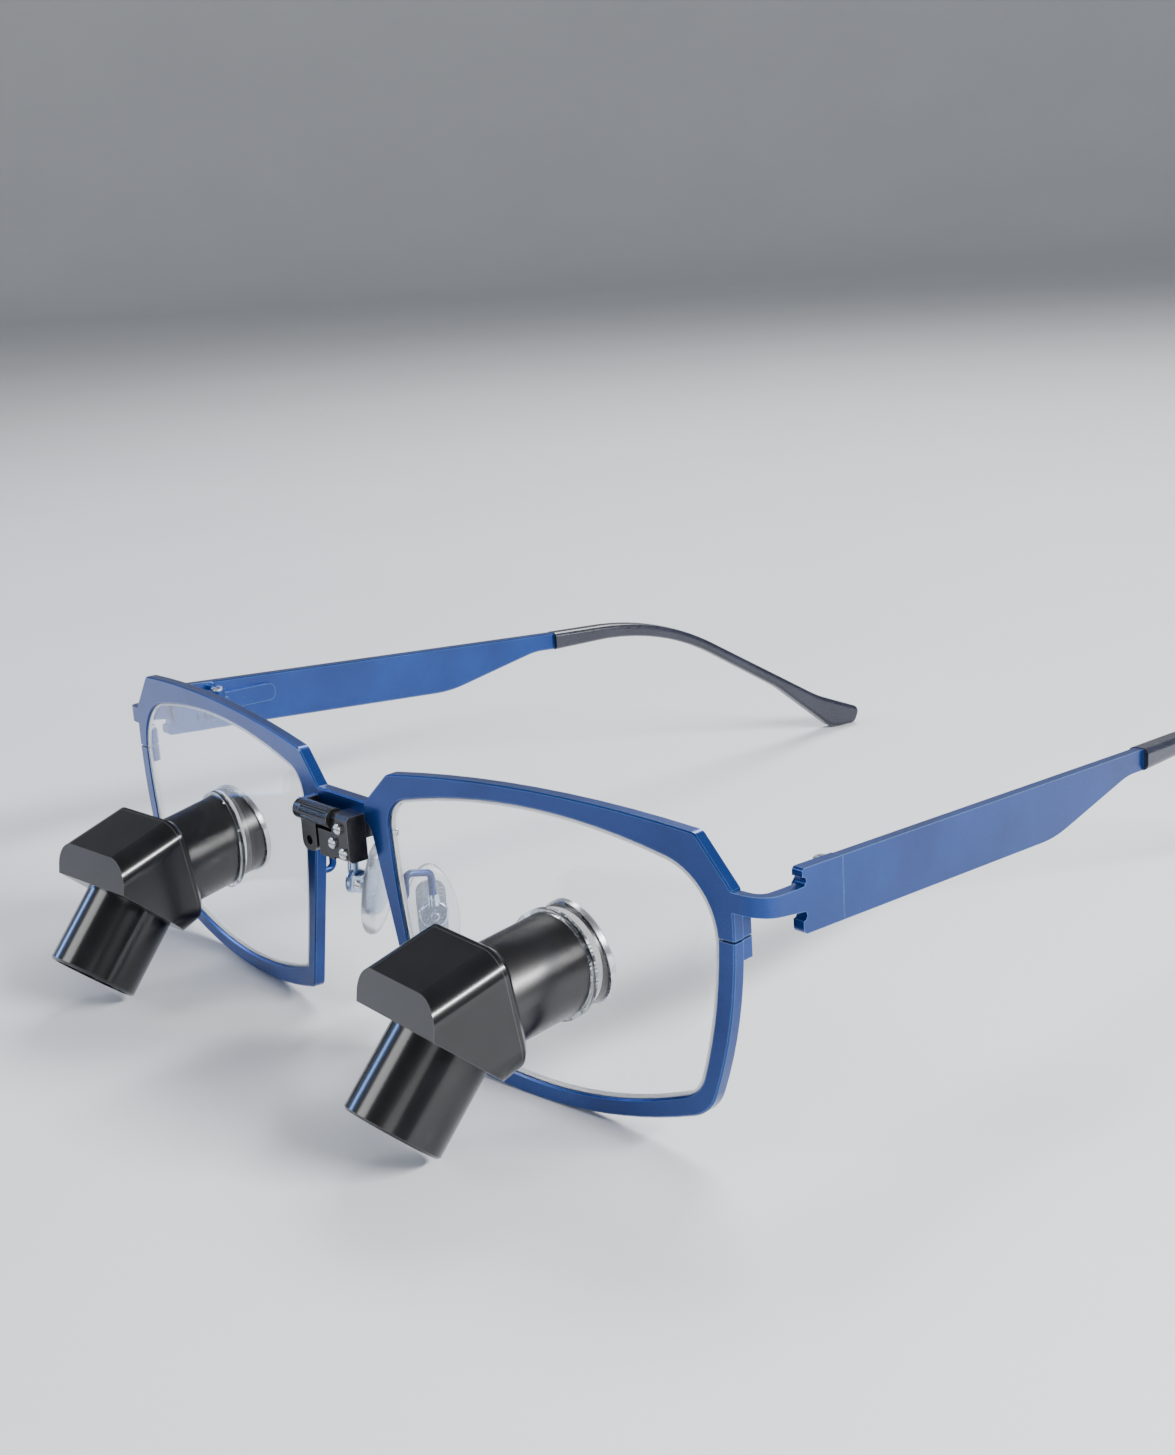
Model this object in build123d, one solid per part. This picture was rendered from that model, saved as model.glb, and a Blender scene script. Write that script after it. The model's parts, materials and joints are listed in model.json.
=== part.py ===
"""Ergonomic dental loupes: a sheet-metal spectacle frame with two angled telescopes through its lenses.

Millimetres. The wearer looks along -Y, +X is the wearer's left and +Z is up. The loupes stand with the
temples open, on the rims, the tube ends and the temple tips. Everything is built for the wearer's left
side and mirrored, in a working frame whose Y = 0 is the front of the bridge. The last step moves the
whole object so that its origin is under the middle of its box, at the height that it stands on.
"""
import os
from math import cos, hypot, radians, sin, tan

from build123d import *

# ---------------------------------------------------------------- driving dimensions
SHEET = 1.6                 # thickness of the frame's sheet metal
EDGE_BREAK = 0.2            # chamfer on the sheet's visible edges
RUN_GAP = 0.05              # clearance of a running or a slip fit

BRIDGE_HALF = 5.4           # half the flat bridge, where the two rims fold back from
BRIDGE_TOP = 33.5
BRIDGE_HEIGHT = 2.9
WRAP = 6.2                  # how far each rim folds back, degrees

BROW_NOSE = (10.1, 37.9)    # corners of the left rim's outer edge, (along the rim, height)
BROW_MIDDLE = (38.0, 40.0)
BROW_OUTER = (61.4, 39.2)
SHOULDER = (66.4, 33.4)
NECK_FOOT = (66.5, 31.0)
OUTER_SIDE = (66.0, 20.5)
CHIN_OUTER = (61.8, 5.6)
CHIN_MIDDLE = (33.0, 0.0)
CHIN_NOSE = (12.4, 2.9)
NOSE_TOP = (6.2, 30.0)

OPEN_NOSE_TOP = (9.7, 34.1)     # corners of the lens opening, same axes
OPEN_BROW = (38.0, 37.7)
OPEN_OUTER_TOP = (63.9, 34.0)
OPEN_OUTER = (63.8, 22.5)
OPEN_OUTER_LOW = (60.4, 7.8)
OPEN_CHIN = (33.0, 2.2)
OPEN_NOSE_LOW = (13.8, 5.5)
OPEN_NOSE = (11.0, 19.2)

LENS_THICK = 1.9            # carrier lens, and the ridge round it that sits in the rim's groove
LENS_BACK = 2.0             # how far behind the rim's front the lens ends
RIDGE_REACH = 0.45
RIDGE_THICK = 0.5
RIDGE_BACK = 1.1

TEMPLE_X = 69.0             # outer face of the temple at the hinge seam
SEAM_Y = 21.2
TOE_IN = 5.5                # how far each temple leans in towards the back, degrees
TEMPLE_DROP = 3.3           # slope of the temple down towards the back, degrees
TEMPLE_TOP = 34.4           # at the seam
TEMPLE_HEIGHT = 7.7
TEMPLE_LENGTH = 66.1        # from the seam to the tip's sleeve
TAB_LENGTH = 7.25           # T-shaped tab in front of the seam
NECK_TOP = 32.7             # where the neck meets the tab
NECK_BOTTOM = 29.8
SEAM_GAP = 0.06
TIP_START = TEMPLE_LENGTH
TIP_HEIGHT = 2.9            # height of the temple where the tip slides on
CORE_LENGTH = 12.0
TIP_HALF = 1.5              # half the tip's thickness

HINGE_IN = 3.0              # hinge pin's distance inside the temple's outer face
HINGE_LOW, HINGE_HIGH = 28.8, 33.2
KNUCKLE_R = 1.2
KNUCKLE_GAP = 0.1
HINGE_PIN_R = 0.55
LEAF_THICK = 0.9

LOCK_U = (64.4, 66.35)      # closing block behind the rim's outer side
LOCK_Z = (24.8, 29.9)
LOCK_DEPTH = 2.0
LOCK_SPLIT = 0.3
LOCK_SCREW_R = 0.5

PAD_CENTRE = (10.4, 7.0, 17.6)      # centre of the pad holder's outer disc
PAD_TURN = 30.0                     # how far the pad faces back from straight inwards, degrees
PAD_SPLAY = 8.5                     # and how far its top leans in, degrees
PAD_BACK = 3.2                      # from the holder's disc to the pad's back
PAD_SIZE = (7.4, 13.6, 2.2)         # width, height, thickness
PAD_ARM_R = 0.5
PAD_PIVOT_IN = 1.9                  # rocking axis, measured in from the disc
PAD_PIN_R = 0.35

EYE_RING = (38.3, 8.1, 19.4)        # centre of the eyepiece's rear ring
CONVERGE = 4.0                      # telescopes turn in towards the nose, degrees
DECLINE = 9.5                       # and look down
TUBE_R = 6.45
TUBE_WALL = 0.8
TUBE_END = 16.3
RING_R = 6.75
RING_BORE = 5.1
RING_THICK = 1.0
TUBE_START = 0.5
HOUSING_HALF = 8.4
HOUSING_WALL = 1.1
HOUSING_SIDE = [(15.2, 9.1), (25.6, 7.7), (26.98, 3.1), (18.0, -7.6), (15.2, -7.0)]  # (forward, up)
COVER_THICK = 1.1
TOP_ROUND = 3.3
LOW_ROUND = 4.4
OBJECTIVE_FOOT = (22.2, -2.6)       # where the objective's axis leaves the sloping face, (forward, up)
OBJECTIVE_TURN = 40.0               # its angle below the eyepiece's axis, degrees
OBJECTIVE_R = 6.35
OBJECTIVE_LENGTH = 11.3
SPIGOT_R = 5.95

MOUNT_Y = -2.2                      # light mount's hinge line in front of the bridge
MOUNT_Z = 31.0
MOUNT_PIN_R = 0.45
MOUNT_BARREL_R = 1.4
MOUNT_X = (-5.3, 1.6)               # the clip's barrel between its two ears
TONGUE_X = (-5.2, -1.8)
TONGUE_END = 25.9
LIGHT_HOLE_R = 0.7                  # hole in the clip's tongue for the head light's screw
LIGHT_HOLE_Z = 27.3


# ---------------------------------------------------------------- helpers
def rounded(edges, corners):
    """Flat face inside the edges, with corners rounded: {(x, y): radius}."""
    face = Face(Wire(edges))
    for (x, y), radius in corners.items():
        vertex = min(face.vertices(), key=lambda v: hypot(v.X - x, v.Y - y))
        face = face.fillet_2d(radius, [vertex])
    return face


def slab(face, back, front):
    """Solid between two depths of a face drawn on the XY plane."""
    return Pos(0, 0, back) * extrude(face, front - back, dir=(0, 0, 1))


def rod(start, end, radius):
    """Round bar between two points."""
    start, end = Vector(*start), Vector(*end)
    plane = Plane(origin=start, z_dir=(end - start))
    return plane * extrude(Circle(radius), (end - start).length)


def pipe_between(start, end, outer, inner):
    """Round tube between two points."""
    return rod(start, end, outer) - rod(start, end, inner)


def block(x, y, z):
    """Box from three (low, high) pairs."""
    size = (x[1] - x[0], y[1] - y[0], z[1] - z[0])
    centre = ((x[0] + x[1]) / 2, (y[0] + y[1]) / 2, (z[0] + z[1]) / 2)
    return Pos(*centre) * Box(*size)


def meet(p, d, q, e):
    """Point where the line p + s*d meets the line q + t*e, in plan."""
    s = ((q[0] - p[0]) * e[1] - (q[1] - p[1]) * e[0]) / (d[0] * e[1] - d[1] * e[0])
    return p[0] + s * d[0], p[1] + s * d[1]


# ---------------------------------------------------------------- working frames
# In the rim's frame x runs along the rim, y is height and z points to the front.
WRAP_DIR = (cos(radians(WRAP)), sin(radians(WRAP)))
RIM = Plane(
    origin=(BRIDGE_HALF * (1 - WRAP_DIR[0]), -BRIDGE_HALF * WRAP_DIR[1], 0),
    x_dir=(WRAP_DIR[0], WRAP_DIR[1], 0),
    z_dir=(WRAP_DIR[1], -WRAP_DIR[0], 0),
)
# In the temple's frame x = 0 is its outer face, inwards is -x, and y runs back from the seam.
TEMPLE = Pos(TEMPLE_X, SEAM_Y, 0) * Rot(0, 0, TOE_IN)
# In a telescope's frame x is sideways, y is up and z is forward from the eyepiece ring.
SCOPE = Pos(*EYE_RING) * Rot(0, 0, -CONVERGE) * Rot(DECLINE, 0, 0) * Rot(90, 0, 0)
# In the objective's frame z runs down the tube from the housing's sloping face.
OBJECTIVE = SCOPE * Pos(0, OBJECTIVE_FOOT[1], OBJECTIVE_FOOT[0]) * Rot(OBJECTIVE_TURN, 0, 0)
# In the pad's frame x is the pad's width, y is height and z points to the nose.
PAD_SIDE = (-sin(radians(PAD_TURN)), -cos(radians(PAD_TURN)), 0)
PAD_IN = (
    PAD_SIDE[1] * cos(radians(PAD_SPLAY)),
    -PAD_SIDE[0] * cos(radians(PAD_SPLAY)),
    -sin(radians(PAD_SPLAY)),
)
PAD = Plane(origin=PAD_CENTRE, x_dir=PAD_SIDE, z_dir=PAD_IN)
# The side view's frame: x runs back, y is height and z points outwards.
SIDE = Plane(origin=(0, 0, 0), x_dir=(0, 1, 0), z_dir=(1, 0, 0))


# ---------------------------------------------------------------- front
def rim_outline():
    edges = [
        Line((BRIDGE_HALF, BRIDGE_TOP - BRIDGE_HEIGHT), (BRIDGE_HALF, BRIDGE_TOP)),
        Line((BRIDGE_HALF, BRIDGE_TOP), BROW_NOSE),
        ThreePointArc(BROW_NOSE, BROW_MIDDLE, BROW_OUTER),
        Line(BROW_OUTER, SHOULDER),
        Line(SHOULDER, NECK_FOOT),
        ThreePointArc(NECK_FOOT, OUTER_SIDE, CHIN_OUTER),
        ThreePointArc(CHIN_OUTER, CHIN_MIDDLE, CHIN_NOSE),
        Line(CHIN_NOSE, NOSE_TOP),
        Line(NOSE_TOP, (BRIDGE_HALF, BRIDGE_TOP - BRIDGE_HEIGHT)),
    ]
    corners = {BROW_NOSE: 1.8, BROW_OUTER: 1.2, CHIN_OUTER: 6.0, CHIN_NOSE: 1.6, NOSE_TOP: 1.0}
    return rounded(edges, corners)


def lens_outline():
    edges = [
        ThreePointArc(OPEN_NOSE_TOP, OPEN_BROW, OPEN_OUTER_TOP),
        ThreePointArc(OPEN_OUTER_TOP, OPEN_OUTER, OPEN_OUTER_LOW),
        ThreePointArc(OPEN_OUTER_LOW, OPEN_CHIN, OPEN_NOSE_LOW),
        ThreePointArc(OPEN_NOSE_LOW, OPEN_NOSE, OPEN_NOSE_TOP),
    ]
    corners = {OPEN_NOSE_TOP: 4.2, OPEN_OUTER_TOP: 9.0, OPEN_OUTER_LOW: 5.0, OPEN_NOSE_LOW: 1.4}
    return rounded(edges, corners)


def grown(face, amount):
    """The lens outline moved out by an amount; every side of it is an arc."""
    wire = offset(face, amount, kind=Kind.ARC).face().outer_wire()
    return Face(Wire([ThreePointArc(edge @ 0, edge @ 0.5, edge @ 1) for edge in wire.edges()]))


def break_front_edges(solid, amount, keep_out=()):
    """Chamfer the edges of the face that looks forward, except near the given x places."""
    front = solid.faces().sort_by(Axis.Z)[-1]
    edges = [e for e in front.edges() if all(abs(e.center().X - x) > 0.05 for x in keep_out)]
    return chamfer(edges, amount)


def rim():
    """One rim with its lens groove and the saw cut that its closing block holds together."""
    opening = lens_outline()
    plate = slab(rim_outline(), -SHEET, 0) - slab(opening, -SHEET - 1, 1)
    plate = break_front_edges(plate, EDGE_BREAK, keep_out=(BRIDGE_HALF, (SHOULDER[0] + NECK_FOOT[0]) / 2))
    groove = slab(
        grown(opening, RIDGE_REACH + RUN_GAP), -RIDGE_BACK - RUN_GAP, -RIDGE_BACK + RIDGE_THICK + RUN_GAP
    )
    split = sum(LOCK_Z) / 2
    saw_cut = block((60, 72), (split - LOCK_SPLIT / 2, split + LOCK_SPLIT / 2), (-SHEET - 1, 1))
    return RIM * (plate - groove - saw_cut)


def end_piece():
    """Strip that leaves the rim, bends back and ends in a T-shaped tab at the hinge seam."""
    toe = radians(TOE_IN)
    along_rim, along_temple = WRAP_DIR, (sin(toe), -cos(toe))
    rim_start = (BRIDGE_HALF + 59.4 * WRAP_DIR[0], 59.4 * WRAP_DIR[1])
    rim_back = (rim_start[0] - SHEET * WRAP_DIR[1], rim_start[1] + SHEET * WRAP_DIR[0])
    seam = (TEMPLE_X, SEAM_Y)
    seam_in = (seam[0] - SHEET * cos(toe), seam[1] - SHEET * sin(toe))
    outer = meet(rim_start, along_rim, seam, along_temple)
    inner = meet(rim_back, along_rim, seam_in, along_temple)
    plan = rounded(
        [
            Line(rim_start, outer),
            Line(outer, seam),
            Line(seam, seam_in),
            Line(seam_in, inner),
            Line(inner, rim_back),
            Line(rim_back, rim_start),
        ],
        {outer: 3.0, inner: 1.4},
    )
    strip = slab(plan, 20, 45)
    return strip & end_piece_side()


def end_piece_side():
    """Side view of the neck and the tab, wide enough to trim the bent strip."""
    drop = tan(radians(TEMPLE_DROP))
    tab_y = SEAM_Y - TAB_LENGTH
    top, bottom = TEMPLE_TOP, TEMPLE_TOP - TEMPLE_HEIGHT
    relief, back = 0.55, SEAM_Y + 1
    side = [
        ThreePointArc((5.8, SHOULDER[1]), (10.0, NECK_TOP + 0.2), (tab_y, NECK_TOP)),
        Line((tab_y, NECK_TOP), (tab_y, top + TAB_LENGTH * drop)),
        Line((tab_y, top + TAB_LENGTH * drop), (back, top - drop)),
        Line((back, top - drop), (back, bottom - drop)),
        Line((back, bottom - drop), (tab_y, bottom + TAB_LENGTH * drop)),
        Line((tab_y, bottom + TAB_LENGTH * drop), (tab_y, NECK_BOTTOM)),
        Line((tab_y, NECK_BOTTOM), (5.8, NECK_FOOT[1])),
        Line((5.8, NECK_FOOT[1]), (5.8, SHOULDER[1])),
    ]
    face = rounded(side, {(tab_y, top + TAB_LENGTH * drop): 0.5, (tab_y, bottom + TAB_LENGTH * drop): 0.7})
    for height in (NECK_TOP + relief, NECK_BOTTOM - relief):
        face = face - Pos(tab_y + 0.1, height) * Circle(relief)
    side_plane = Plane(origin=(55, 0, 0), x_dir=(0, 1, 0), z_dir=(1, 0, 0))
    return side_plane * slab(face, 0, 20)


def bridge():
    face = rounded(
        [
            Line((-BRIDGE_HALF, BRIDGE_TOP), (BRIDGE_HALF, BRIDGE_TOP)),
            Line((BRIDGE_HALF, BRIDGE_TOP), (BRIDGE_HALF, BRIDGE_TOP - BRIDGE_HEIGHT)),
            ThreePointArc(
                (BRIDGE_HALF, BRIDGE_TOP - BRIDGE_HEIGHT),
                (0, BRIDGE_TOP - BRIDGE_HEIGHT + 0.5),
                (-BRIDGE_HALF, BRIDGE_TOP - BRIDGE_HEIGHT),
            ),
            Line((-BRIDGE_HALF, BRIDGE_TOP - BRIDGE_HEIGHT), (-BRIDGE_HALF, BRIDGE_TOP)),
        ],
        {},
    )
    plate = slab(face, -SHEET, 0)
    plate = break_front_edges(plate, EDGE_BREAK, keep_out=(-BRIDGE_HALF, BRIDGE_HALF))
    return Plane.XZ * plate


def front_frame():
    half = rim() + end_piece()
    return bridge() + half + mirror(half, about=Plane.YZ)


def carrier_lens():
    """Plano lens with a bevelled edge, a ridge for the rim's groove and a hole for the telescope."""
    opening = lens_outline()
    plate = slab(grown(opening, -0.04), -LENS_BACK, -LENS_BACK + LENS_THICK)
    rims = plate.faces().sort_by(Axis.Z)
    plate = chamfer(rims[-1].edges() + rims[0].edges(), 0.3)
    ridge = slab(grown(opening, RIDGE_REACH), -RIDGE_BACK, -RIDGE_BACK + RIDGE_THICK)
    hole = SCOPE * Pos(0, 0, -5) * extrude(Circle(TUBE_R + RUN_GAP), 20)
    return RIM * (plate + ridge) - hole


def lock_block():
    """Two brazed halves behind the rim's saw cut, drilled for the lens screw."""
    low, high = LOCK_Z
    split = (low + high) / 2
    centre = sum(LOCK_U) / 2
    depth = (-SHEET - LOCK_DEPTH, -SHEET)
    lower = block(LOCK_U, (low, split - LOCK_SPLIT / 2), depth)
    upper = block(LOCK_U, (split + LOCK_SPLIT / 2, high), depth)
    bore = RIM * rod((centre, low + 0.4, lock_screw_depth()), (centre, high + 1, lock_screw_depth()), LOCK_SCREW_R)
    halves = []
    for half in (lower, upper):
        edges = half.edges().filter_by(Axis.Y).sort_by(Axis.Z)[:2]
        halves.append(RIM * chamfer(edges, 0.35) - bore)
    return Compound(children=[h.solid() for h in halves])


def lock_screw_depth():
    return -SHEET - LOCK_DEPTH / 2


def slotted_head(radius, height, slot=0.3):
    """Screw head standing on the XY plane, with a slot across its top."""
    head = extrude(Circle(radius), height)
    head = chamfer(head.faces().sort_by(Axis.Z)[-1].edges(), min(0.15, height / 3))
    return head - Pos(0, 0, height) * Box(3 * radius, slot, height * 0.8)


def lock_screw():
    low, high = LOCK_Z
    centre = sum(LOCK_U) / 2
    shaft = rod((centre, low + 0.4, lock_screw_depth()), (centre, high, lock_screw_depth()), LOCK_SCREW_R)
    head = Pos(centre, high, lock_screw_depth()) * Rot(-90, 0, 0) * slotted_head(0.85, 0.6)
    return RIM * (shaft + head)


# ---------------------------------------------------------------- hinge and temple
def knuckle(low, high):
    return rod((-HINGE_IN, 0, low), (-HINGE_IN, 0, high), KNUCKLE_R)


def hinge_bore(radius):
    return rod((-HINGE_IN, 0, HINGE_LOW - 1), (-HINGE_IN, 0, HINGE_HIGH + 1), radius)


def knuckle_heights():
    third = (HINGE_HIGH - HINGE_LOW - 2 * KNUCKLE_GAP) / 3
    low = HINGE_LOW + third
    return low, low + KNUCKLE_GAP, low + KNUCKLE_GAP + third, low + 2 * KNUCKLE_GAP + third


def front_leaf():
    """Leaf brazed inside the tab, with the top and bottom knuckles."""
    low_end, _, _, high_start = knuckle_heights()
    leaf = block((-SHEET - LEAF_THICK, -SHEET), (-6.2, -1.9), (HINGE_LOW, HINGE_HIGH))
    leaf = chamfer(leaf.edges().filter_by(Axis.X).sort_by(Axis.Y)[:2], 0.8)
    solid = leaf
    for low, high in ((HINGE_LOW, low_end), (high_start, HINGE_HIGH)):
        solid += block((-HINGE_IN + 0.1, -SHEET - 0.2), (-2.2, -0.1), (low, high))
        solid += knuckle(low, high)
    return TEMPLE * (solid - hinge_bore(HINGE_PIN_R))


def temple_leaf():
    """Leaf brazed inside the temple, with the middle knuckle."""
    _, low, high, _ = knuckle_heights()
    leaf = block((-SHEET - LEAF_THICK, -SHEET), (1.6, 10.5), (29.6, 32.4))
    leaf = fillet(leaf.edges().filter_by(Axis.X).sort_by(Axis.Y)[-2:], 1.2)
    arm = block((-HINGE_IN + 0.1, -SHEET - 0.2), (0.1, 2.0), (low, high))
    solid = leaf + arm + knuckle(low, high)
    return TEMPLE * (solid - hinge_bore(HINGE_PIN_R + RUN_GAP))


def hinge_screw():
    shaft = Pos(-HINGE_IN, 0, HINGE_LOW - 0.2) * extrude(Circle(HINGE_PIN_R), HINGE_HIGH - HINGE_LOW + 0.2)
    head = Pos(-HINGE_IN, 0, HINGE_HIGH) * slotted_head(1.0, 0.5)
    return TEMPLE * (shaft + head)


def temple_top(y):
    return TEMPLE_TOP - y * tan(radians(TEMPLE_DROP))


def temple():
    """Flat side plate, deep at the hinge and tapering to a core that the tip slides over."""
    start = SEAM_GAP
    taper_from = (44.0, temple_top(44.0) - TEMPLE_HEIGHT)
    taper_to = (62.0, temple_top(62.0) - TIP_HEIGHT)
    end_low = (TIP_START, temple_top(TIP_START) - TIP_HEIGHT)
    side = rounded(
        [
            Line((start, temple_top(start)), (TIP_START, temple_top(TIP_START))),
            Line((TIP_START, temple_top(TIP_START)), end_low),
            Line(end_low, taper_to),
            Line(taper_to, taper_from),
            Line(taper_from, (start, temple_top(start) - TEMPLE_HEIGHT)),
            Line((start, temple_top(start) - TEMPLE_HEIGHT), (start, temple_top(start))),
        ],
        {taper_from: 22.0, taper_to: 12.0},
    )
    plate = slab(side, -SHEET, 0)
    for face in (plate.faces().sort_by(Axis.Z)[-1], plate.faces().sort_by(Axis.Z)[0]):
        long_edges = [e for e in face.edges() if start + 0.1 < e.center().X < TIP_START - 0.1]
        plate = chamfer(long_edges, EDGE_BREAK)
    return TEMPLE * (SIDE * plate + temple_core(0))


def temple_core(spare):
    """The plate's narrow end, made larger by spare on each side to cut the tip's bore."""
    middle = temple_top(TIP_START + CORE_LENGTH / 2) - TIP_HEIGHT / 2
    half_z, half_x = 0.7 + spare, 0.45 + spare
    core = block(
        (-SHEET / 2 - half_x, -SHEET / 2 + half_x),
        (TIP_START - 0.3, TIP_START + CORE_LENGTH + spare),
        (middle - half_z, middle + half_z),
    )
    return core


def temple_tip():
    """Moulded ear tip: straight sleeve, downward bend and a flat rounded end."""
    bend_top, bend_low = (89.6, 29.6), (89.6, 27.6)
    flare_top, flare_low = (127.0, 7.3), (117.0, 10.8)
    toe, sole, heel = (137.7, 2.9), (136.3, 0.0), (130.5, 0.0)
    outline = Polyline(
        (TIP_START, 30.7), bend_top, flare_top, toe, sole, heel, flare_low, bend_low, (TIP_START, 27.6), close=True
    )
    bends = {bend_top: 55, flare_top: 30, toe: 1.3, sole: 1.3, heel: 5, flare_low: 25, bend_low: 50}
    profile = rounded(outline.edges(), bends)
    body = slab(profile, -SHEET / 2 - TIP_HALF, -SHEET / 2 + TIP_HALF)
    edges = [
        e
        for face in (body.faces().sort_by(Axis.Z)[-1], body.faces().sort_by(Axis.Z)[0])
        for e in face.edges()
        if e.center().X > TIP_START + 0.1
    ]
    body = fillet(edges, 0.9)
    return TEMPLE * (SIDE * body - temple_core(RUN_GAP))


# ---------------------------------------------------------------- nose pads
def pad_arm():
    """Wire from the rim's nose side, over in a loop and down to the pad holder."""
    start = RIM.from_local_coords(Vector(9.4, 20.4, -SHEET))
    out = RIM.from_local_coords(Vector(9.4, 20.4, -SHEET - 1.6))
    rise = RIM.from_local_coords(Vector(9.6, 23.9, -SHEET - 1.7))
    over = PAD.from_local_coords(Vector(0, 5.6, 0.1))
    end = PAD.from_local_coords(Vector(0, 1.0, 0.45))
    path = FilletPolyline(start, out, rise, over, end, radius=0.9)
    return sweep(Plane(origin=path @ 0, z_dir=path % 0) * Circle(PAD_ARM_R), path=path)


def pad_pivot(radius):
    return rod((-3, 0, PAD_PIVOT_IN), (3, 0, PAD_PIVOT_IN), radius)


def pad_box():
    """Round holder on the wire's end, with two ears that the pad rocks between."""
    disc = extrude(Circle(1.9), 0.8)
    disc = fillet(disc.faces().sort_by(Axis.Z)[0].edges(), 0.35)
    stud = Pos(0, -0.3, -0.35) * extrude(Circle(0.6), 0.6)
    stud = fillet(stud.faces().sort_by(Axis.Z)[0].edges(), 0.2)
    box = disc + stud + rod((0, 1.2, 0.42), (0, 2.7, 0.3), 0.8)
    for side in (-1, 1):
        ear = Pos(side * 1.25, 0, 1.7) * Box(0.5, 2.3, 2.0)
        ear = fillet(ear.edges().filter_by(Axis.X).sort_by(Axis.Z)[-2:], 0.6)
        box += ear
    return PAD * (box - pad_pivot(PAD_PIN_R)) - pad_arm()


def pad_screw():
    shaft = rod((-1.5, 0, PAD_PIVOT_IN), (1.5, 0, PAD_PIVOT_IN), PAD_PIN_R)
    head = Pos(1.5, 0, PAD_PIVOT_IN) * Rot(0, 90, 0) * slotted_head(0.65, 0.4, slot=0.2)
    return PAD * (shaft + head)


def pad_core():
    """Metal lug and plate moulded into the pad."""
    lug = Pos(0, 0, 2.45) * Box(1.8, 1.8, 2.3)
    lug = fillet(lug.edges().filter_by(Axis.X).sort_by(Axis.Z)[:2], 0.6)
    plate = Pos(0, 0, PAD_BACK + 0.4) * extrude(RectangleRounded(4.0, 8.0, 1.6), 0.5)
    return PAD * (lug + plate - pad_pivot(PAD_PIN_R + RUN_GAP))


def nose_pad():
    """Soft oval pad moulded round its core."""
    width, height, thick = PAD_SIZE
    oval = Pos(0, -0.6, PAD_BACK) * extrude(Ellipse(width / 2, height / 2), thick)
    oval = fillet(oval.edges(), 0.95)
    return PAD * oval - pad_core()


# ---------------------------------------------------------------- telescope
def eyepiece_tube():
    return SCOPE * pipe_between((0, 0, TUBE_START), (0, 0, TUBE_END), TUBE_R, TUBE_R - TUBE_WALL)


def eyepiece_ring():
    """Ring round the eyepiece's eye side, with a small bevel outside and a funnel inside."""
    ring = pipe_between((0, 0, TUBE_START - RING_THICK), (0, 0, TUBE_START), RING_R, RING_BORE)
    edges = ring.faces().sort_by(Axis.Z)[0].edges()
    return SCOPE * chamfer(edges, 0.3)


def lens_disc(radius, middle, edge):
    """Convex lens on the Z axis, centred on the origin: thick in the middle, thin at its edge."""
    bulge = (middle - edge) / 2
    ball = (radius * radius + bulge * bulge) / (2 * bulge)
    disc = Cylinder(radius, middle)
    return disc & Pos(0, 0, middle / 2 - ball) * Sphere(ball) & Pos(0, 0, ball - middle / 2) * Sphere(ball)


def eyepiece_lens():
    return SCOPE * Pos(0, 0, 2.5) * lens_disc(TUBE_R - TUBE_WALL - 0.02, 3.4, 1.6)


def bond_ring():
    """Bead of adhesive that seals the tube to the front of the carrier lens."""
    lens_front = RIM * Pos(0, 0, -LENS_BACK + LENS_THICK) * block((0, 80), (-5, 50), (0, 0.6))
    collar = SCOPE * pipe_between((0, 0, -4), (0, 0, 12), TUBE_R + 0.55, TUBE_R)
    return lens_front & collar


def rounded_bar(start, end, half, radius, reach):
    """Long bar whose face follows the line from start to end, with that face's two edges rounded.

    Both points are (forward, up), and reach says how far the bar goes to the other side.
    """
    direction = Vector(0, end[1] - start[1], end[0] - start[0]).normalized()
    outline = Polyline((-half, 0), (half, 0), (half, reach), (-half, reach), close=True)
    section = rounded(outline.edges(), {(-half, 0): radius, (half, 0): radius})
    plane = Plane(origin=(0, start[1], start[0]), x_dir=(1, 0, 0), z_dir=direction)
    return plane * slab(section, -30, 30)


def housing_body(shrink):
    """The housing's rounded outside, or the same shape drawn in by shrink."""
    face = Face(Wire(Polyline(*[(up, forward) for forward, up in HOUSING_SIDE], close=True).edges()))
    if shrink:
        face = offset(face, -shrink, kind=Kind.INTERSECTION).face()
    half = HOUSING_HALF - shrink
    body = Plane(origin=(0, 0, 0), x_dir=(0, 1, 0), z_dir=(1, 0, 0)) * slab(face, -half, half)
    top = [(f, u - shrink * 1.01) for f, u in HOUSING_SIDE[:2]]
    low = [(f, u + shrink * 1.02) for f, u in HOUSING_SIDE[3:]]
    body = body & rounded_bar(top[0], top[1], half, TOP_ROUND - shrink, -40)
    return body & rounded_bar(low[1], low[0], half, LOW_ROUND - shrink, 40)


def behind_cover_seam():
    start = HOUSING_SIDE[0][0]
    return block((-20, 20), (-20, 20), (start - 1, start + COVER_THICK))


def prism_cover():
    """Rear plate that the eyepiece tube passes through."""
    plate = housing_body(0) & behind_cover_seam()
    rear = plate.faces().sort_by(Axis.Z)[0]
    plate = chamfer(rear.edges(), 0.6)
    return SCOPE * (plate - rod((0, 0, 10), (0, 0, 20), TUBE_R))


def prism_housing():
    """Cast shell round the prism, open at the back and towards the objective."""
    shell = housing_body(0) - behind_cover_seam() - housing_body(HOUSING_WALL)
    foot = Pos(0, OBJECTIVE_FOOT[1], OBJECTIVE_FOOT[0]) * Rot(OBJECTIVE_TURN, 0, 0)
    return SCOPE * (shell - foot * rod((0, 0, -2), (0, 0, 2), SPIGOT_R))


def prism():
    """Roof prism that turns the light from the objective into the eyepiece."""
    glass = housing_body(HOUSING_WALL + 0.15)
    return SCOPE * (glass - block((-20, 20), (-20, 20), (0, TUBE_END + 0.3)))


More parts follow.
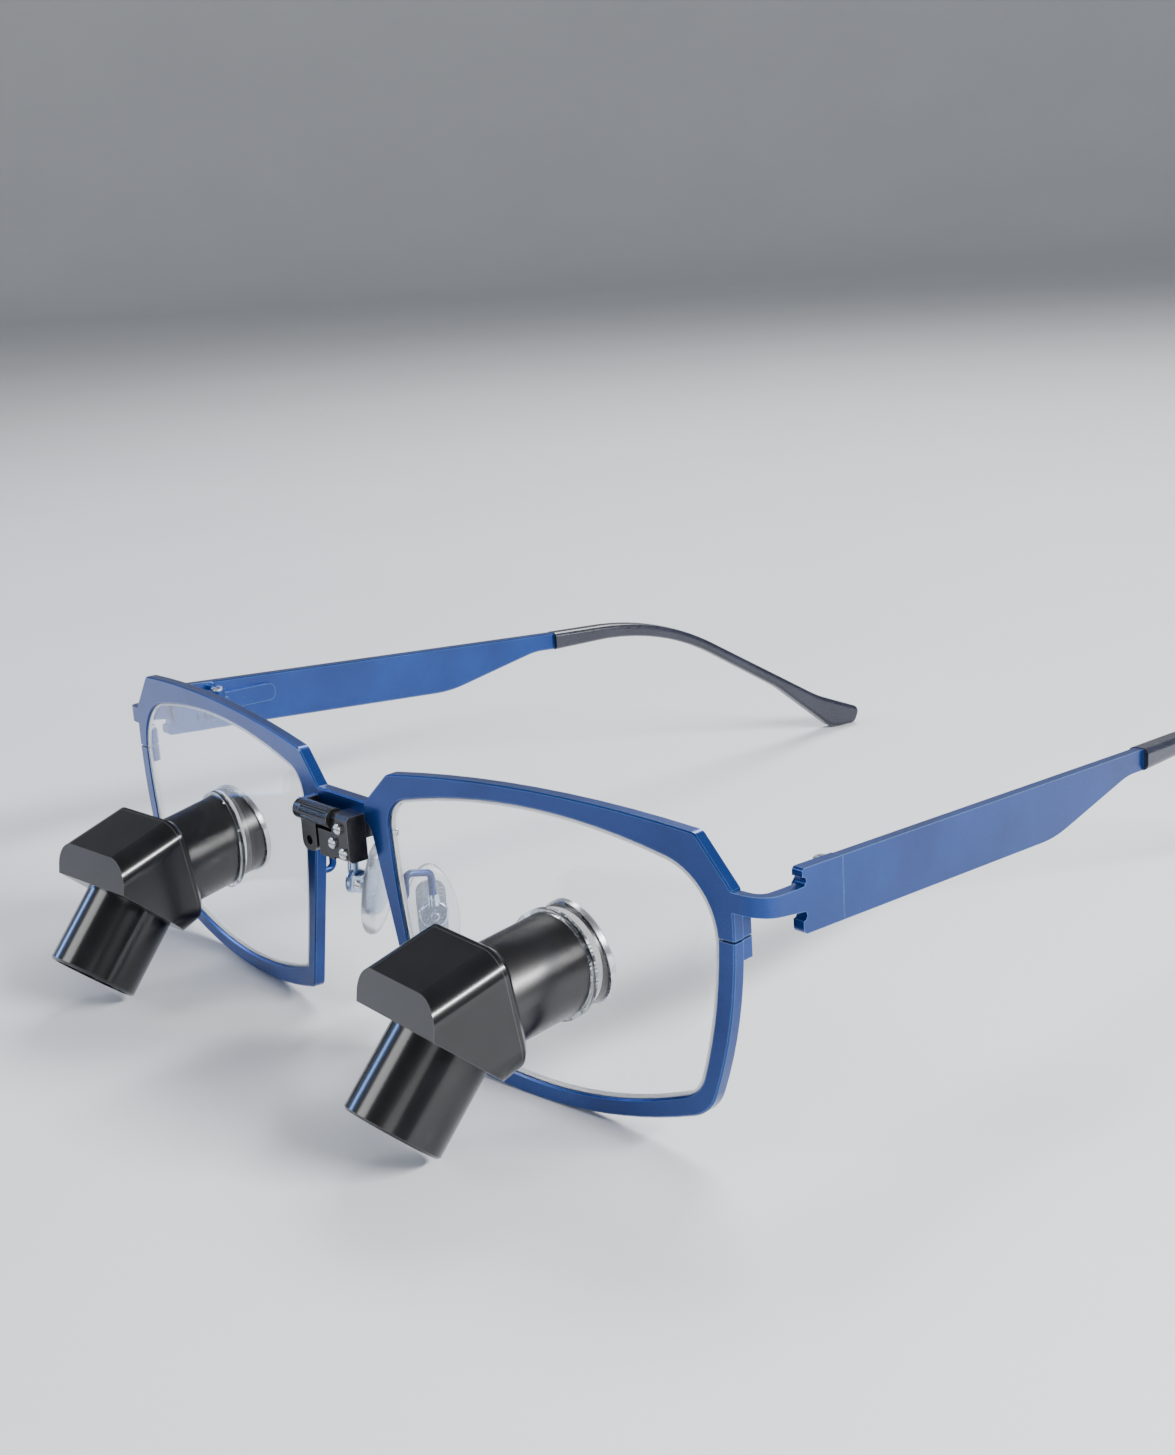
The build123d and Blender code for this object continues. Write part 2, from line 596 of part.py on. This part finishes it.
def objective_tube():
    outside = rod((0, 0, 0), (0, 0, OBJECTIVE_LENGTH), OBJECTIVE_R)
    outside = chamfer(outside.faces().sort_by(Axis.Z)[-1].edges(), 0.3)
    outside += rod((0, 0, -HOUSING_WALL), (0, 0, 1), SPIGOT_R)
    return OBJECTIVE * (outside - rod((0, 0, -5), (0, 0, 20), OBJECTIVE_R - TUBE_WALL))


def objective_ring():
    """Threaded ring that holds the objective lens in."""
    end = OBJECTIVE_LENGTH
    ring = pipe_between((0, 0, end - 1.0), (0, 0, end - 0.25), OBJECTIVE_R - TUBE_WALL, 4.9)
    return OBJECTIVE * ring


def objective_lens():
    return OBJECTIVE * Pos(0, 0, OBJECTIVE_LENGTH - 2.6) * lens_disc(OBJECTIVE_R - TUBE_WALL - 0.02, 3.6, 2.0)


# ---------------------------------------------------------------- light mount
def mount_axis(x_from, x_to, radius):
    return rod((x_from, MOUNT_Y, MOUNT_Z), (x_to, MOUNT_Y, MOUNT_Z), radius)


def mount_base():
    """Block clipped round the bridge from below, with two ears for the light clip."""
    tall = block((MOUNT_X[1] + 0.1, 5.3), (-2.9, 0), (25.7, 31.9))
    low = block((-1.5, MOUNT_X[1] + 0.2), (-2.9, 0), (25.7, 29.3))
    face = block((-5.3, 5.3), (-0.6, 0), (28.5, 31.2))
    under = block((-5.0, 5.0), (-0.6, SHEET), (28.5, 30.5))
    hook = block((-5.0, 5.0), (SHEET, SHEET + 0.9), (28.5, 32.3))
    ear_x = (MOUNT_X[0] - 1.0, MOUNT_X[0] - 0.1)
    ear = rod((ear_x[0], MOUNT_Y, MOUNT_Z), (ear_x[1], MOUNT_Y, MOUNT_Z), MOUNT_BARREL_R)
    ear += block(ear_x, (MOUNT_Y, 0), (MOUNT_Z - MOUNT_BARREL_R, MOUNT_Z + MOUNT_BARREL_R))
    link = block((ear_x[0], -5.0), (-0.6, 0), (MOUNT_Z - MOUNT_BARREL_R, 31.2))
    tall = chamfer(tall.edges().filter_by(Axis.X).sort_by(Axis.Y)[:2], 0.45)
    base = tall + low + face + under + hook + ear + link
    base -= mount_axis(ear_x[0] - 1, 3.6, MOUNT_PIN_R)
    return base - screw_holes()


MOUNT_SCREWS = [(3.5, 30.2), (2.0, 28.0), (4.3, 27.0)]


def screw_holes():
    holes = [rod((x, -2.9, z), (x, -0.9, z), 0.4) for x, z in MOUNT_SCREWS]
    return Compound(children=holes)


def mount_screws():
    """The three screws in the front of the mount."""
    screws = []
    for x, z in MOUNT_SCREWS:
        head = Pos(x, -2.9, z) * Rot(90, 0, 0) * slotted_head(0.75, 0.5, slot=0.25)
        screws.append((head + rod((x, -2.9, z), (x, -0.9, z), 0.4)).solid())
    return Compound(children=screws)


def mount_pin():
    return mount_axis(MOUNT_X[0] - 1.0, 3.6, MOUNT_PIN_R)


def light_clip():
    """Knurled barrel that turns on the mount's pin, with a tongue that a head light screws to."""
    barrel = mount_axis(MOUNT_X[0], MOUNT_X[1], MOUNT_BARREL_R)
    tongue = block(TONGUE_X, (MOUNT_Y - 0.9, MOUNT_Y + 0.5), (TONGUE_END, MOUNT_Z))
    tongue = fillet(tongue.edges().filter_by(Axis.Y).sort_by(Axis.Z)[:2], 1.2)
    clip = barrel + tongue
    middle = sum(TONGUE_X) / 2
    clip -= rod((middle, -6, LIGHT_HOLE_Z), (middle, 0, LIGHT_HOLE_Z), LIGHT_HOLE_R)
    for index in range(14):
        groove = Rot(index * 360 / 14, 0, 0) * Pos(0, 0, MOUNT_BARREL_R + 0.05) * Rot(45, 0, 0) * Box(9, 0.3, 0.3)
        reach = Pos(-2, MOUNT_Y, MOUNT_Z) * groove
        if reach.center().Z > MOUNT_Z - 0.6:
            clip -= reach & block((MOUNT_X[0] + 0.5, MOUNT_X[1] - 0.4), (-9, 9), (20, 40))
    return clip - mount_axis(-9, 9, MOUNT_PIN_R + RUN_GAP)


# ---------------------------------------------------------------- the whole object
NODES = {}


def both_sides(name, shape):
    NODES["left_" + name] = shape
    NODES["right_" + name] = mirror(shape, about=Plane.YZ)


def lens_stud():
    """Tiny rivet head in the lens's nose corner."""
    stud = Pos(11.2, 30.4, -LENS_BACK + LENS_THICK) * extrude(Circle(0.5), 0.35)
    return RIM * fillet(stud.faces().sort_by(Axis.Z)[-1].edges(), 0.2)


NODES["front_frame"] = front_frame()
both_sides("carrier_lens", carrier_lens())
both_sides("lens_stud", lens_stud())
both_sides("rim_lock", lock_block())
both_sides("lock_screw", lock_screw())
both_sides("hinge_front_leaf", front_leaf())
both_sides("hinge_temple_leaf", temple_leaf())
both_sides("hinge_screw", hinge_screw())
both_sides("temple", temple())
both_sides("temple_tip", temple_tip())
both_sides("pad_arm", pad_arm())
both_sides("pad_box", pad_box())
both_sides("pad_screw", pad_screw())
both_sides("pad_core", pad_core())
both_sides("nose_pad", nose_pad())
both_sides("eyepiece_tube", eyepiece_tube())
both_sides("eyepiece_ring", eyepiece_ring())
both_sides("eyepiece_lens", eyepiece_lens())
both_sides("bond_ring", bond_ring())
both_sides("prism_cover", prism_cover())
both_sides("prism_housing", prism_housing())
both_sides("prism", prism())
both_sides("objective_tube", objective_tube())
both_sides("objective_ring", objective_ring())
both_sides("objective_lens", objective_lens())
NODES["mount_base"] = mount_base()
NODES["mount_screws"] = mount_screws()
NODES["mount_pin"] = mount_pin()
NODES["light_clip"] = light_clip()

boxes = [shape.bounding_box() for shape in NODES.values()]
LOW_Y = min(box.min.Y for box in boxes)
HIGH_Y = max(box.max.Y for box in boxes)
FLOOR = min(box.min.Z for box in boxes)
SHIFT = Pos(0, -(LOW_Y + HIGH_Y) / 2, -FLOOR)

os.makedirs("parts", exist_ok=True)
for name, shape in NODES.items():
    export_step(SHIFT * shape, f"parts/{name}.step")


def tell(name, point):
    placed = SHIFT * Pos(*point)
    x, y, z = placed.position
    print(f"{name}: {x / 1000:.6f} {y / 1000:.6f} {z / 1000:.6f}")


def frame_point(frame, point):
    return tuple((frame * Pos(*point)).position)


print("shift", SHIFT.position)
tell("left temple hinge", frame_point(TEMPLE, (-HINGE_IN, 0, (HINGE_LOW + HINGE_HIGH) / 2)))
tell("left pad pivot", tuple(PAD.from_local_coords(Vector(0, 0, PAD_PIVOT_IN))))
print("left pad axis", PAD_SIDE)
tell("light clip hinge", (0, MOUNT_Y, MOUNT_Z))
tell("light clip hole", (sum(TONGUE_X) / 2, MOUNT_Y - 0.9, LIGHT_HOLE_Z))
tell("left objective end", frame_point(OBJECTIVE, (0, 0, OBJECTIVE_LENGTH)))
print("left objective axis", (OBJECTIVE * Pos(0, 0, 1)).position - OBJECTIVE.position)
tell("left eyepiece ring", EYE_RING)
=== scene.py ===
"""Looks for the dental loupes: materials for every CAD node, sculpted silicone nose pads, floor, light
and camera. Metres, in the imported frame: -Y is the way the wearer looks, +X the wearer's left, +Z up."""
import json
from math import cos, pi, radians, sin

import bmesh
import bpy
from mathutils import Matrix, Vector


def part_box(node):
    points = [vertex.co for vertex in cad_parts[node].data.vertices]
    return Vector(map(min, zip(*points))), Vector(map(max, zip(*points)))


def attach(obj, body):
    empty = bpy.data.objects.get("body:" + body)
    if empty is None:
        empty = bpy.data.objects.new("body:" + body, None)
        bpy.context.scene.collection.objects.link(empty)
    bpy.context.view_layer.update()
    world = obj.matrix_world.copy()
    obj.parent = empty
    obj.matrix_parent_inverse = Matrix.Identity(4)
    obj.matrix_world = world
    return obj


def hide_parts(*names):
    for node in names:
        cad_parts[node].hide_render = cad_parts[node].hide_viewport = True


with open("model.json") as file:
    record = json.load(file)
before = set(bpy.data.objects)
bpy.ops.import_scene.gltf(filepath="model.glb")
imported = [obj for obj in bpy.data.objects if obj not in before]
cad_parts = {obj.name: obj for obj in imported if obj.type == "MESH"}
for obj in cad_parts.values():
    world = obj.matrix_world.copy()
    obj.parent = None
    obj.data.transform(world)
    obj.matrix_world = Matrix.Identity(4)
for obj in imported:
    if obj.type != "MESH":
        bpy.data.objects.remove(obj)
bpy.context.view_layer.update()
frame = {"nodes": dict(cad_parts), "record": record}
SIDES = ("left_", "right_")
MM = 0.001


# ---------------------------------------------------------------- material helpers
class Recipe:
    """One node material around a Principled shader, in object coordinates, which are metres here."""

    def __init__(self, name, **constants):
        self.material = bpy.data.materials.new(name)
        self.material.use_nodes = True
        self.tree = self.material.node_tree
        self.shader = self.tree.nodes["Principled BSDF"]
        for socket, value in constants.items():
            self.shader.inputs[socket.replace("_", " ")].default_value = value
        self.where = self.tree.nodes.new("ShaderNodeTexCoord").outputs["Object"]

    def node(self, kind, **settings):
        made = self.tree.nodes.new("ShaderNode" + kind)
        for key, value in settings.items():
            if hasattr(made, key):
                setattr(made, key, value)
            else:
                made.inputs[key.replace("_", " ")].default_value = value
        return made

    def link(self, output, target):
        self.tree.links.new(output, target)

    def noise(self, per_mm, detail=3.0, stretch=None):
        """Noise with that many cells per millimetre, drawn out along the axes that stretch makes small."""
        made = self.node("TexNoise", Scale=per_mm / MM, Detail=detail)
        if stretch:
            mapping = self.node("Mapping")
            mapping.inputs["Scale"].default_value = stretch
            self.link(self.where, mapping.inputs["Vector"])
            self.link(mapping.outputs["Vector"], made.inputs["Vector"])
        else:
            self.link(self.where, made.inputs["Vector"])
        return made.outputs["Fac"]

    def ramp(self, factor, low, high, start=0.35, end=0.65):
        made = self.node("ValToRGB")
        made.color_ramp.elements[0].position = start
        made.color_ramp.elements[1].position = end
        made.color_ramp.elements[0].color = (*low, 1)
        made.color_ramp.elements[1].color = (*high, 1)
        self.link(factor, made.inputs["Fac"])
        return made.outputs["Color"]

    def span(self, factor, low, high, start=0.3, end=0.7):
        made = self.node("MapRange")
        made.inputs["From Min"].default_value = start
        made.inputs["From Max"].default_value = end
        made.inputs["To Min"].default_value = low
        made.inputs["To Max"].default_value = high
        self.link(factor, made.inputs["Value"])
        return made.outputs["Result"]

    def mix(self, factor, a, b):
        made = self.node("Mix", data_type="RGBA")
        self.link(factor, made.inputs["Factor"])
        for value, socket in ((a, made.inputs[6]), (b, made.inputs[7])):
            if isinstance(value, tuple):
                socket.default_value = (*value, 1)
            else:
                self.link(value, socket)
        return made.outputs[2]

    def blend_values(self, factor, a, b):
        """a where factor is 0 and b where it is 1; both are numbers or outputs."""
        made = self.node("Mix", data_type="FLOAT")
        self.link(factor, made.inputs["Factor"])
        for value, socket in ((a, made.inputs[2]), (b, made.inputs[3])):
            if isinstance(value, (int, float)):
                socket.default_value = value
            else:
                self.link(value, socket)
        return made.outputs[0]

    def gain(self, value, factor):
        made = self.node("Math", operation="MULTIPLY")
        made.inputs[1].default_value = factor
        self.link(value, made.inputs[0])
        return made.outputs[0]

    def bump(self, height, depth_mm, strength=1.0):
        made = self.node("Bump", Strength=strength, Distance=depth_mm * MM)
        self.link(height, made.inputs["Height"])
        self.link(made.outputs["Normal"], self.shader.inputs["Normal"])

    def edges(self, radius_mm):
        """1 near a sharp edge, 0 on open faces: how far the rounded normal leaves the flat one."""
        soft = self.node("Bevel", samples=6, Radius=radius_mm * MM)
        flat = self.node("NewGeometry")
        dot = self.node("VectorMath", operation="DOT_PRODUCT")
        self.link(soft.outputs["Normal"], dot.inputs[0])
        self.link(flat.outputs["Normal"], dot.inputs[1])
        return self.span(dot.outputs["Value"], 1.0, 0.0, 0.90, 0.995)

    def set(self, socket, output):
        self.link(output, self.shader.inputs[socket])


def blue_metal():
    """Satin blue electroplated sheet: fine grain, slightly uneven tone, and paler edges that are partly
    polished wear and partly a painted highlight.
    """
    m = Recipe("blue_metal", Metallic=0.72, Coat_Weight=0.35, Coat_Roughness=0.12, IOR=1.5)
    tone = m.ramp(m.noise(0.10, 4), (0.0028, 0.026, 0.145), (0.0040, 0.037, 0.195))
    grain = m.noise(9.0, 2)
    speck = m.ramp(grain, (0.0, 0.0, 0.0), (1.0, 1.0, 1.0), 0.62, 0.80)
    tone = m.mix(m.gain(speck, 0.20), tone, (0.02, 0.11, 0.42))
    # paler colour along every edge: partly polished wear, partly a painted edge highlight
    wear_and_highlight = m.edges(0.16)
    m.set("Base Color", m.mix(m.gain(wear_and_highlight, 0.55), tone, (0.16, 0.33, 0.66)))
    m.set("Roughness", m.span(grain, 0.26, 0.36))
    m.bump(grain, 0.004, 0.5)
    return m.material


def lens_material():
    """Clear plastic: faint smears on the polished faces, and an edge ground matt that reads pale."""
    m = Recipe("carrier_lens", IOR=1.49)
    face = m.node("NewGeometry")
    split = m.node("SeparateXYZ")
    m.link(face.outputs["Normal"], split.inputs["Vector"])
    facing = m.node("Math", operation="ABSOLUTE")
    m.link(split.outputs["Y"], facing.inputs[0])
    edge = m.span(facing.outputs[0], 1.0, 0.0, 0.86, 0.95)
    smear = m.noise(0.25, 5)
    m.set("Base Color", m.mix(edge, (0.985, 0.992, 1.0), (0.97, 0.985, 1.0)))
    m.set("Roughness", m.blend_values(edge, m.span(smear, 0.0, 0.035, 0.5, 0.8), 0.30))
    m.set("Transmission Weight", m.blend_values(edge, 1.0, 0.25))
    m.bump(m.noise(3.0, 2), 0.0015, 0.2)
    return m.material


def optic_glass():
    """Coated optical glass: thin interference film and a few specks."""
    film = {"Thin_Film_Thickness": 420.0, "Thin_Film_IOR": 1.36}
    m = Recipe("optic_glass", Transmission_Weight=1.0, IOR=1.62, **film)
    speck = m.noise(1.4, 5)
    m.set("Base Color", m.ramp(speck, (0.90, 0.96, 0.97), (0.97, 0.99, 1.0)))
    m.set("Roughness", m.span(speck, 0.0, 0.05, 0.66, 0.85))
    return m.material


def black_anodised():
    """Gloss black anodised aluminium: fine pores, faint clouding, and greyer edges that are partly wear and
    partly a painted highlight.
    """
    m = Recipe("black_anodised", IOR=1.45, Coat_Weight=0.15, Coat_Roughness=0.08)
    cloud = m.noise(0.22, 4)
    tone = m.ramp(cloud, (0.0028, 0.0028, 0.0034), (0.0055, 0.0055, 0.0064))
    # greyer colour along every edge: partly wear, partly a painted edge highlight
    wear_and_highlight = m.edges(0.14)
    m.set("Base Color", m.mix(m.gain(wear_and_highlight, 0.6), tone, (0.08, 0.08, 0.09)))
    pores = m.noise(14.0, 2)
    m.set("Roughness", m.span(pores, 0.16, 0.24))
    m.bump(pores, 0.002, 0.35)
    return m.material


def turned_black():
    """Black anodised tube turned on a lathe: its grain runs round, so light draws a band along it."""
    m = Recipe("turned_black", IOR=1.6, Anisotropic=0.8)
    around = m.node("Tangent", direction_type="RADIAL", axis="Y")
    m.set("Tangent", around.outputs["Tangent"])
    cloud = m.noise(0.22, 4)
    m.set("Base Color", m.ramp(cloud, (0.0028, 0.0028, 0.0034), (0.0060, 0.0060, 0.0070)))
    pores = m.noise(14.0, 2)
    m.set("Roughness", m.span(pores, 0.22, 0.26))
    m.bump(pores, 0.0008, 0.2)
    return m.material


def turned_silver():
    """Bright turned ring: fine lathe lines and small stains."""
    m = Recipe("turned_silver", Metallic=1.0, Anisotropic=0.4)
    stain = m.noise(0.9, 4)
    m.set("Base Color", m.ramp(stain, (0.52, 0.54, 0.57), (0.74, 0.75, 0.78)))
    lines = m.noise(22.0, 2, (0.06, 1.0, 0.06))
    m.set("Roughness", m.span(lines, 0.16, 0.34))
    m.bump(lines, 0.003, 0.5)
    return m.material


def bond_bead():
    """Cured clear adhesive: glassy, slightly uneven, a little grey."""
    m = Recipe("bond_bead", Transmission_Weight=1.0, IOR=1.40)
    lumps = m.noise(1.6, 3)
    m.set("Base Color", m.ramp(lumps, (0.62, 0.66, 0.70), (0.80, 0.84, 0.88)))
    m.set("Roughness", m.span(lumps, 0.0, 0.08))
    m.bump(lumps, 0.01, 0.3)
    return m.material


def screw_steel():
    """Bright steel with turning marks and a tone that varies at random."""
    m = Recipe("screw_steel", Metallic=1.0)
    mark = m.noise(7.0, 3)
    m.set("Base Color", m.ramp(mark, (0.46, 0.47, 0.49), (0.80, 0.81, 0.83)))
    m.set("Roughness", m.span(mark, 0.14, 0.30))
    m.bump(mark, 0.004, 0.4)
    return m.material


def pad_metal():
    """Bluish silver plated holder."""
    m = Recipe("pad_metal", Metallic=1.0)
    mark = m.noise(4.0, 3)
    m.set("Base Color", m.ramp(mark, (0.36, 0.47, 0.66), (0.58, 0.67, 0.82)))
    m.set("Roughness", m.span(mark, 0.14, 0.28))
    m.bump(mark, 0.004, 0.35)
    return m.material


def silicone():
    """Clear moulded silicone, slightly milky, with a skin that isn't quite smooth."""
    m = Recipe("silicone", Transmission_Weight=0.86, IOR=1.41, Coat_Weight=0.2, Coat_Roughness=0.2)
    cloud = m.noise(0.8, 4)
    m.set("Base Color", m.ramp(cloud, (0.86, 0.89, 0.92), (0.95, 0.97, 0.99)))
    m.set("Roughness", m.span(cloud, 0.10, 0.24))
    m.bump(m.noise(2.2, 3), 0.02, 0.35)
    return m.material


def tip_plastic():
    """Moulded acetate, nearly black with a blue cast, with fine rubbing marks along it."""
    m = Recipe("tip_plastic", IOR=1.49, Coat_Weight=0.3, Coat_Roughness=0.18)
    cloud = m.noise(0.12, 4)
    m.set("Base Color", m.ramp(cloud, (0.0065, 0.0075, 0.016), (0.012, 0.014, 0.028)))
    rub = m.noise(5.0, 3, (1.0, 0.12, 0.5))
    m.set("Roughness", m.span(rub, 0.24, 0.40))
    m.bump(m.noise(6.0, 2), 0.006, 0.4)
    return m.material


def mount_black():
    """Blackened metal of the light mount: satin, with bright edges that are partly rubbed wear and partly a
    painted highlight.
    """
    m = Recipe("mount_black", Metallic=0.35, IOR=1.5, Coat_Weight=0.25, Coat_Roughness=0.2)
    cloud = m.noise(0.8, 4)
    tone = m.ramp(cloud, (0.006, 0.006, 0.007), (0.014, 0.014, 0.015))
    # bright colour along every edge: partly rubbed wear, partly a painted edge highlight
    wear_and_highlight = m.edges(0.10)
    m.set("Base Color", m.mix(m.gain(wear_and_highlight, 0.7), tone, (0.22, 0.22, 0.23)))
    grit = m.noise(11.0, 2)
    m.set("Roughness", m.span(grit, 0.24, 0.38))
    m.bump(grit, 0.004, 0.4)
    return m.material


FINISHES = {
    "blue_metal": blue_metal(),
    "carrier_lens": lens_material(),
    "optic_glass": optic_glass(),
    "black_anodised": black_anodised(),
    "silver_ring": turned_silver(),
    "bond": bond_bead(),
    "steel_screw": screw_steel(),
    "pad_metal": pad_metal(),
    "pad_silicone": silicone(),
    "tip_plastic": tip_plastic(),
    "mount_black": mount_black(),
}
for part in frame["record"]["subparts"]:
    obj = frame["nodes"][part["node"]]
    for index in range(len(obj.material_slots)):
        obj.material_slots[index].material = FINISHES[part["material_slot"]]
EYEPIECE_FINISH = turned_black()
for side in SIDES:
    frame["nodes"][side + "eyepiece_tube"].material_slots[0].material = EYEPIECE_FINISH


# ---------------------------------------------------------------- meshes
def close_rings(bm, rings):
    """Join each ring of points to the next with quads."""
    for lower, upper in zip(rings, rings[1:]):
        for step in range(len(lower)):
            after = (step + 1) % len(lower)
            bm.faces.new((lower[step], lower[after], upper[after], upper[step]))


def smooth_object(name, bm, material):
    """A smooth-shaded object from the finished bmesh, in the scene."""
    bmesh.ops.recalc_face_normals(bm, faces=bm.faces)
    mesh = bpy.data.meshes.new(name)
    bm.to_mesh(mesh)
    bm.free()
    for face in mesh.polygons:
        face.use_smooth = True
    mesh.materials.append(material)
    obj = bpy.data.objects.new(name, mesh)
    bpy.context.scene.collection.objects.link(obj)
    return obj


# ---------------------------------------------------------------- nose pads
PAD_TURN = radians(30.0)        # the pad faces back from straight inwards
PAD_SPLAY = radians(8.5)        # its top leans in
PAD_WIDTH, PAD_HEIGHT = 7.4 * MM, 13.6 * MM
PAD_PROFILE = (                 # (share of the outline, height from the middle of the pad in mm)
    (0.30, -0.86), (0.62, -0.98), (0.82, -1.08), (0.93, -1.02), (0.985, -0.72), (1.0, -0.30),
    (0.995, 0.12), (0.965, 0.50), (0.90, 0.78), (0.76, 0.97), (0.50, 1.06), (0.22, 1.09),
)
PAD_TAPER = 0.13                # how much narrower the top of the outline is
PAD_INSET = 0.985               # keeps the outline inside the CAD pad
PAD_SAG = -0.25 * MM            # the ends curve away from the nose
AROUND = 56


def outline_point(angle):
    """The pad's outline: an oval that is narrower at its top."""
    across, up = cos(angle), sin(angle)
    taper = 1.0 - PAD_TAPER * up
    return across * taper * PAD_WIDTH / 2 * PAD_INSET, up * PAD_HEIGHT / 2


def nose_pad(side):
    node = side + "nose_pad"
    low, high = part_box(node)
    middle = (low + high) / 2
    hand = 1 if side == "left_" else -1
    inward = Vector((-cos(PAD_TURN) * cos(PAD_SPLAY) * hand, sin(PAD_TURN) * cos(PAD_SPLAY), -sin(PAD_SPLAY)))
    across = Vector((-sin(PAD_TURN) * hand, -cos(PAD_TURN), 0))
    up = inward.cross(across)
    if up.z < 0:
        up = -up
    bm = bmesh.new()
    rings = []
    for share, height in PAD_PROFILE:
        ring = []
        for step in range(AROUND):
            x, y = outline_point(2 * pi * step / AROUND)
            sag = PAD_SAG * (y / (PAD_HEIGHT / 2)) ** 2 * (1 if height > 0 else 0.4)
            point = middle + across * (x * share) + up * (y * share) + inward * (height * MM + sag * share)
            ring.append(bm.verts.new(point))
        rings.append(ring)
    close_rings(bm, rings)
    bm.faces.new(rings[0])
    bm.faces.new(rings[-1])
    pad = smooth_object(side + "soft_pad", bm, FINISHES["pad_silicone"])
    smooth = pad.modifiers.new("smooth", "SUBSURF")
    smooth.levels = smooth.render_levels = 1
    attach(pad, side + "pad")
    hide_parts(node)


for side in SIDES:
    nose_pad(side)


# ---------------------------------------------------------------- stage, light and camera
FLOOR_COLOUR = (0.70, 0.71, 0.73)
SKY_COLOUR = (0.80, 0.84, 0.90, 1)
SKY_STRENGTH = 0.30


def plain(name, colour, roughness):
    m = Recipe(name, Roughness=roughness)
    m.set("Base Color", m.ramp(m.noise(0.01, 3), tuple(c * 0.97 for c in colour), colour))
    return m.material


def stage_bowl():
    """Pale floor that curves up into a wall all round, so every view has the same backdrop."""
    flat, bend, wall = 1.7, 0.5, 1.0
    turns, around = 12, 96
    run = [(0.02, 0.0), (0.6, 0.0), (flat, 0.0)]
    for index in range(1, turns + 1):
        angle = pi / 2 * index / turns
        run.append((flat + bend * sin(angle), bend - bend * cos(angle)))
    run.append((flat + bend, bend + wall))
    angles = [2 * pi * step / around for step in range(around)]
    bm = bmesh.new()
    rings = []
    for radius, height in run:
        rings.append([bm.verts.new((radius * cos(t), radius * sin(t), height)) for t in angles])
    bm.faces.new(rings[0])
    close_rings(bm, rings)
    bowl = smooth_object("bowl", bm, plain("pale_floor", FLOOR_COLOUR, 0.55))


def softbox(name, place, aim, size, power, colour=(1, 1, 1)):
    lamp = bpy.data.lights.new(name, "AREA")
    lamp.shape = "RECTANGLE"
    lamp.size, lamp.size_y = size
    lamp.energy = power
    lamp.color = colour
    obj = bpy.data.objects.new(name, lamp)
    bpy.context.scene.collection.objects.link(obj)
    obj.location = place
    obj.rotation_mode = "QUATERNION"
    obj.rotation_quaternion = (Vector(aim) - Vector(place)).to_track_quat("-Z", "Y")


stage_bowl()
MIDDLE = (0, -0.03, 0.02)
softbox("key", (-0.30, 0.50, 0.70), MIDDLE, (0.45, 0.30), 8.0)
softbox("band", (0.60, 0.10, 0.36), MIDDLE, (0.50, 0.045), 11.0)
softbox("fill", (0.55, -0.75, 0.30), MIDDLE, (0.5, 0.4), 1.6)
softbox("front", (-0.35, -0.60, 0.45), MIDDLE, (0.30, 0.30), 2.2)
softbox("rim", (-0.60, -0.28, 0.16), MIDDLE, (0.08, 0.40), 1.6, (0.25, 0.45, 1.0))

world = bpy.data.worlds.new("studio")
world.use_nodes = True
sky = world.node_tree.nodes["Background"]
sky.inputs["Color"].default_value = SKY_COLOUR
sky.inputs["Strength"].default_value = SKY_STRENGTH
bpy.context.scene.world = world

CAMERA_PLACE = Vector((0.22327, -0.20889, 0.11092))
AZIMUTH, ELEVATION, ROLL = radians(50.33), radians(15.02), radians(-3.59)
back = Vector((sin(AZIMUTH) * cos(ELEVATION), -cos(AZIMUTH) * cos(ELEVATION), sin(ELEVATION)))
level = Vector((cos(AZIMUTH), sin(AZIMUTH), 0))
above = back.cross(level)
right = level * cos(ROLL) + above * sin(ROLL)
up = -level * sin(ROLL) + above * cos(ROLL)
camera = bpy.data.objects.new("camera", bpy.data.cameras.new("camera"))
bpy.context.scene.collection.objects.link(camera)
turn = Matrix((right, up, back)).transposed().to_quaternion()
camera.matrix_world = Matrix.LocRotScale(CAMERA_PLACE, turn, None)
camera.data.sensor_width = 36.0
camera.data.lens = 52.02
camera.data.clip_start = 0.01
bpy.context.scene.camera = camera
